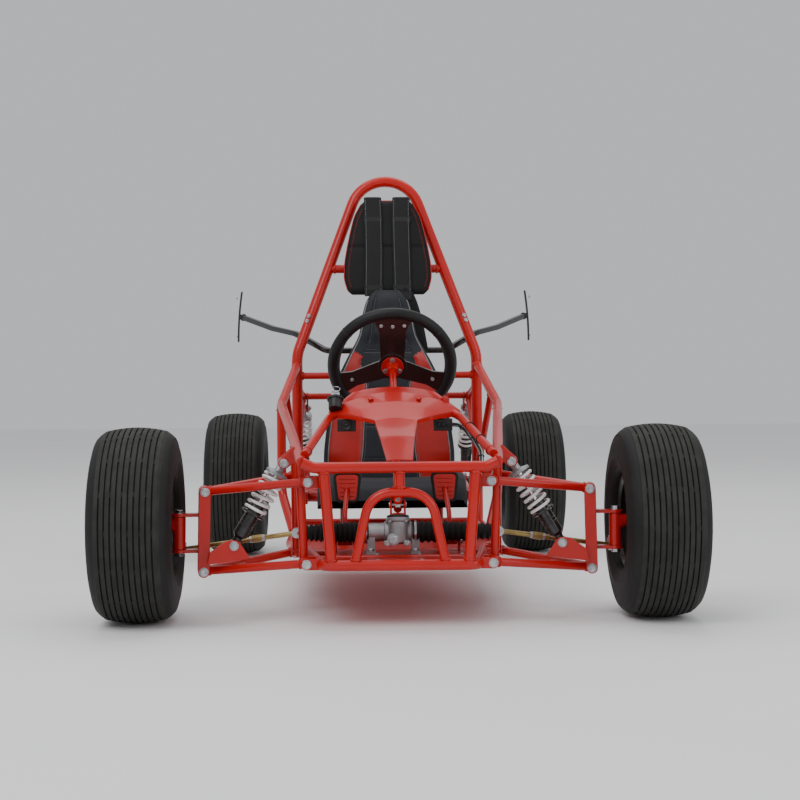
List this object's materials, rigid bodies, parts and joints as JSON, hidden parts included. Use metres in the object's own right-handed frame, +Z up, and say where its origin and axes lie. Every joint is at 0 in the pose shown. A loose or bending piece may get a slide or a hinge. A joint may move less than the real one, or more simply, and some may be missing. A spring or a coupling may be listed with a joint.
{
  "type": "kart chassis",
  "caption": "Off-road kart chassis: red tubular frame, double-wishbone front suspension, steering, pedals, bucket seat, padded roll hoop, rear swingarm and four wheels.",
  "frame": {"origin": "on the ground under the wheelbase centre, the middle of the bounding box's bottom face", "axes": "+Z up, +Y to the rear along the longest side, -Y the nose, +X the driver's left"},
  "size_m": [1.415, 1.8972, 1.175],
  "materials": {
    "frame_red": "gloss",
    "black_steel": "gloss",
    "bare_steel": "satin",
    "zinc_gold": "satin",
    "cast_aluminium": "satin",
    "spring_white": "gloss",
    "tyre_rubber": "matte",
    "black_rubber": "matte",
    "black_plastic": "satin",
    "seat_fabric": "matte",
    "pad_leather": "satin",
    "webbing": "matte",
    "wheel_leather": "satin"
  },
  "bodies": {
    "chassis": {"bulkhead": "frame_red", "side_frame_left": "frame_red", "side_frame_right": "frame_red", "floor_frame": "frame_red", "roll_hoop": "frame_red", "rear_subframe": "frame_red", "dash_cowl": "frame_red", "fender_bar": "black_steel", "seat_base": "seat_fabric", "seat_back": "seat_fabric", "back_pad": "pad_leather", "harness": "webbing", "rack_housing": "cast_aluminium", "bellows_left": "black_rubber", "bellows_right": "black_rubber", "key_switch": "black_plastic", "horn": "black_plastic", "relay_box": "black_plastic", "wiring_loom": "black_plastic"},
    "steering_column": {"steering_column": "frame_red", "steering_wheel": "wheel_leather"},
    "steering_shaft": {"steering_shaft": "frame_red"},
    "pinion_shaft": {"pinion_shaft": "frame_red"},
    "rack_bar": {"rack_bar": "bare_steel"},
    "lower_arm_left": {"lower_arm_left": "frame_red"},
    "upper_arm_left": {"upper_arm_left": "frame_red"},
    "upright_left": {"upright_left": "frame_red"},
    "spindle_left": {"spindle_left": "frame_red"},
    "front_wheel_left": {"rim_front_left": "black_steel", "tyre_front_left": "tyre_rubber"},
    "tie_rod_left": {"tie_rod_left": "zinc_gold"},
    "shock_rod_front_left": {"shock_rod_front_left": "bare_steel", "spring_front_left": "spring_white"},
    "shock_body_front_left": {"shock_body_front_left": "black_steel"},
    "lower_arm_right": {"lower_arm_right": "frame_red"},
    "upper_arm_right": {"upper_arm_right": "frame_red"},
    "upright_right": {"upright_right": "frame_red"},
    "spindle_right": {"spindle_right": "frame_red"},
    "front_wheel_right": {"rim_front_right": "black_steel", "tyre_front_right": "tyre_rubber"},
    "tie_rod_right": {"tie_rod_right": "zinc_gold"},
    "shock_rod_front_right": {"shock_rod_front_right": "bare_steel", "spring_front_right": "spring_white"},
    "shock_body_front_right": {"shock_body_front_right": "black_steel"},
    "swingarm": {"swingarm": "frame_red"},
    "rear_axle": {"rear_axle": "bare_steel", "rim_rear_left": "black_steel", "rim_rear_right": "black_steel", "tyre_rear_left": "tyre_rubber", "tyre_rear_right": "tyre_rubber"},
    "shock_rod_rear_left": {"shock_rod_rear_left": "bare_steel", "spring_rear_left": "spring_white"},
    "shock_body_rear_left": {"shock_body_rear_left": "black_steel"},
    "shock_rod_rear_right": {"shock_rod_rear_right": "bare_steel", "spring_rear_right": "spring_white"},
    "shock_body_rear_right": {"shock_body_rear_right": "black_steel"},
    "brake_pedal": {"brake_pedal": "frame_red"},
    "throttle_pedal": {"throttle_pedal": "frame_red"},
    "ignition_key": {"ignition_key": "bare_steel"},
    "push_button": {"push_button": "frame_red"}
  },
  "joints": [
    {"name": "steering", "type": "hinge", "parent": "chassis", "child": "steering_column", "pos_m": [0, -0.32, 0.6], "axis": [0, 0.866, 0.5], "range_deg": [-150, 150]},
    {"name": "shaft_turn", "type": "hinge", "parent": "chassis", "child": "steering_shaft", "pos_m": [0, -0.69654, 0.268], "axis": [0, 0.6467, 0.7627], "range_deg": [-150, 150]},
    {"name": "pinion_turn", "type": "hinge", "parent": "chassis", "child": "pinion_shaft", "pos_m": [0, -0.708, 0.203], "axis": [0, 0.1736, 0.9848], "range_deg": [-150, 150]},
    {"name": "rack_slide", "type": "slide", "parent": "chassis", "child": "rack_bar", "axis": [1, 0, 0], "range_m": [-0.02235, 0.02235], "deforming": ["bellows_left", "bellows_right"]},
    {"name": "lower_arm_pivot_left", "type": "hinge", "parent": "chassis", "child": "lower_arm_left", "pos_m": [0.216, -0.83, 0.146], "axis": [-0.1288, -0.9917, 0], "range_deg": [-6, 8], "stiffness_Nm_per_rad": 3500, "springref_deg": -1.72},
    {"name": "upper_arm_pivot_left", "type": "hinge", "parent": "chassis", "child": "upper_arm_left", "pos_m": [0.21203, -0.82949, 0.333], "axis": [-0.1288, -0.9917, 0], "range_deg": [-6, 8]},
    {"name": "upright_pivot_left", "type": "hinge", "parent": "lower_arm_left", "child": "upright_left", "pos_m": [0.459, -0.71736, 0.118], "axis": [-0.1288, -0.9917, 0], "range_deg": [-8, 6]},
    {"name": "kingpin_left", "type": "hinge", "parent": "upright_left", "child": "spindle_left", "pos_m": [0.515, -0.72, 0.2286], "axis": [0, 0, 1], "range_deg": [-21.6, 21.6]},
    {"name": "front_wheel_spin_left", "type": "hinge", "parent": "spindle_left", "child": "front_wheel_left", "pos_m": [0.6115, -0.72, 0.2286], "axis": [1, 0, 0], "continuous": true},
    {"name": "tie_rod_pivot_left", "type": "hinge", "parent": "rack_bar", "child": "tie_rod_left", "pos_m": [0.241, -0.69, 0.203], "axis": [0, -1, 0], "range_deg": [-5.06, 6.71]},
    {"name": "shock_pivot_front_left", "type": "hinge", "parent": "chassis", "child": "shock_rod_front_left", "pos_m": [0.2691, -0.72396, 0.371], "axis": [-0.1288, -0.9917, 0], "range_deg": [-1.47, 1.93]},
    {"name": "shock_travel_front_left", "type": "slide", "parent": "shock_rod_front_left", "child": "shock_body_front_left", "axis": [-0.5212, 0.0677, 0.8507], "range_m": [-0.01615, 0.02147], "deforming": ["spring_front_left"]},
    {"name": "lower_arm_pivot_right", "type": "hinge", "parent": "chassis", "child": "lower_arm_right", "pos_m": [-0.216, -0.83, 0.146], "axis": [-0.1288, 0.9917, 0], "range_deg": [-6, 8], "stiffness_Nm_per_rad": 3500, "springref_deg": -1.72},
    {"name": "upper_arm_pivot_right", "type": "hinge", "parent": "chassis", "child": "upper_arm_right", "pos_m": [-0.21203, -0.82949, 0.333], "axis": [-0.1288, 0.9917, 0], "range_deg": [-6, 8]},
    {"name": "upright_pivot_right", "type": "hinge", "parent": "lower_arm_right", "child": "upright_right", "pos_m": [-0.459, -0.71736, 0.118], "axis": [-0.1288, 0.9917, 0], "range_deg": [-8, 6]},
    {"name": "kingpin_right", "type": "hinge", "parent": "upright_right", "child": "spindle_right", "pos_m": [-0.515, -0.72, 0.2286], "axis": [0, 0, 1], "range_deg": [-21.6, 21.6]},
    {"name": "front_wheel_spin_right", "type": "hinge", "parent": "spindle_right", "child": "front_wheel_right", "pos_m": [-0.6115, -0.72, 0.2286], "axis": [1, 0, 0], "continuous": true},
    {"name": "tie_rod_pivot_right", "type": "hinge", "parent": "rack_bar", "child": "tie_rod_right", "pos_m": [-0.241, -0.69, 0.203], "axis": [0, 1, 0], "range_deg": [-5.06, 6.71]},
    {"name": "shock_pivot_front_right", "type": "hinge", "parent": "chassis", "child": "shock_rod_front_right", "pos_m": [-0.2691, -0.72396, 0.371], "axis": [-0.1288, 0.9917, 0], "range_deg": [-1.47, 1.93]},
    {"name": "shock_travel_front_right", "type": "slide", "parent": "shock_rod_front_right", "child": "shock_body_front_right", "axis": [0.5212, 0.0677, 0.8507], "range_m": [-0.01615, 0.02147], "deforming": ["spring_front_right"]},
    {"name": "swingarm_pivot", "type": "hinge", "parent": "chassis", "child": "swingarm", "pos_m": [0, 0.285, 0.215], "axis": [1, 0, 0], "range_deg": [-4, 5], "stiffness_Nm_per_rad": 12000, "springref_deg": -1.72},
    {"name": "axle_spin", "type": "hinge", "parent": "swingarm", "child": "rear_axle", "pos_m": [0, 0.72, 0.2286], "axis": [1, 0, 0], "continuous": true},
    {"name": "shock_pivot_rear_left", "type": "hinge", "parent": "chassis", "child": "shock_rod_rear_left", "pos_m": [0.256, 0.44, 0.478], "axis": [1, 0, 0], "range_deg": [-1.83, 2.27]},
    {"name": "shock_travel_rear_left", "type": "slide", "parent": "shock_rod_rear_left", "child": "shock_body_rear_left", "axis": [0, -0.5607, 0.828], "range_m": [-0.0195, 0.02433], "deforming": ["spring_rear_left"]},
    {"name": "shock_pivot_rear_right", "type": "hinge", "parent": "chassis", "child": "shock_rod_rear_right", "pos_m": [-0.256, 0.44, 0.478], "axis": [1, 0, 0], "range_deg": [-1.83, 2.27]},
    {"name": "shock_travel_rear_right", "type": "slide", "parent": "shock_rod_rear_right", "child": "shock_body_rear_right", "axis": [0, -0.5607, 0.828], "range_m": [-0.0195, 0.02433], "deforming": ["spring_rear_right"]},
    {"name": "brake_pedal_pivot", "type": "hinge", "parent": "chassis", "child": "brake_pedal", "pos_m": [0.126, -0.645, 0.176], "axis": [1, 0, 0], "range_deg": [0, 18], "stiffness_Nm_per_rad": 5, "springref_deg": -11.46},
    {"name": "throttle_pedal_pivot", "type": "hinge", "parent": "chassis", "child": "throttle_pedal", "pos_m": [-0.126, -0.645, 0.176], "axis": [1, 0, 0], "range_deg": [0, 18], "stiffness_Nm_per_rad": 5, "springref_deg": -11.46},
    {"name": "key_turn", "type": "hinge", "parent": "chassis", "child": "ignition_key", "pos_m": [-0.148, -0.512, 0.492], "axis": [0, 0.5501, 0.8351], "range_deg": [0, 60]},
    {"name": "button_press", "type": "slide", "parent": "chassis", "child": "push_button", "axis": [0, 0, -1], "range_m": [0, 0.004], "stiffness_N_per_m": 400, "springref_m": -0.003}
  ],
  "couplings": [
    {"joint": "shaft_turn", "follows": "steering", "ratio": 1},
    {"joint": "pinion_turn", "follows": "steering", "ratio": 1},
    {"joint": "rack_slide", "follows": "steering", "m_per_rad": -0.0085},
    {"joint": "upper_arm_pivot_left", "follows": "lower_arm_pivot_left", "ratio": 1},
    {"joint": "upright_pivot_left", "follows": "lower_arm_pivot_left", "ratio": -1},
    {"joint": "kingpin_left", "follows": "steering", "ratio": 0.14334},
    {"joint": "tie_rod_pivot_left", "follows": "lower_arm_pivot_left", "ratio": 0.82613},
    {"joint": "shock_pivot_front_left", "follows": "lower_arm_pivot_left", "ratio": 0.22829},
    {"joint": "shock_travel_front_left", "follows": "lower_arm_pivot_left", "m_per_rad": 0.15234},
    {"joint": "upper_arm_pivot_right", "follows": "lower_arm_pivot_right", "ratio": 1},
    {"joint": "upright_pivot_right", "follows": "lower_arm_pivot_right", "ratio": -1},
    {"joint": "kingpin_right", "follows": "steering", "ratio": 0.14334},
    {"joint": "tie_rod_pivot_right", "follows": "lower_arm_pivot_right", "ratio": 0.82613},
    {"joint": "shock_pivot_front_right", "follows": "lower_arm_pivot_right", "ratio": 0.22829},
    {"joint": "shock_travel_front_right", "follows": "lower_arm_pivot_right", "m_per_rad": 0.15234},
    {"joint": "shock_pivot_rear_left", "follows": "swingarm_pivot", "ratio": 0.43318},
    {"joint": "shock_travel_rear_left", "follows": "swingarm_pivot", "m_per_rad": 0.27648},
    {"joint": "shock_pivot_rear_right", "follows": "swingarm_pivot", "ratio": 0.43318},
    {"joint": "shock_travel_rear_right", "follows": "swingarm_pivot", "m_per_rad": 0.27648}
  ]
}
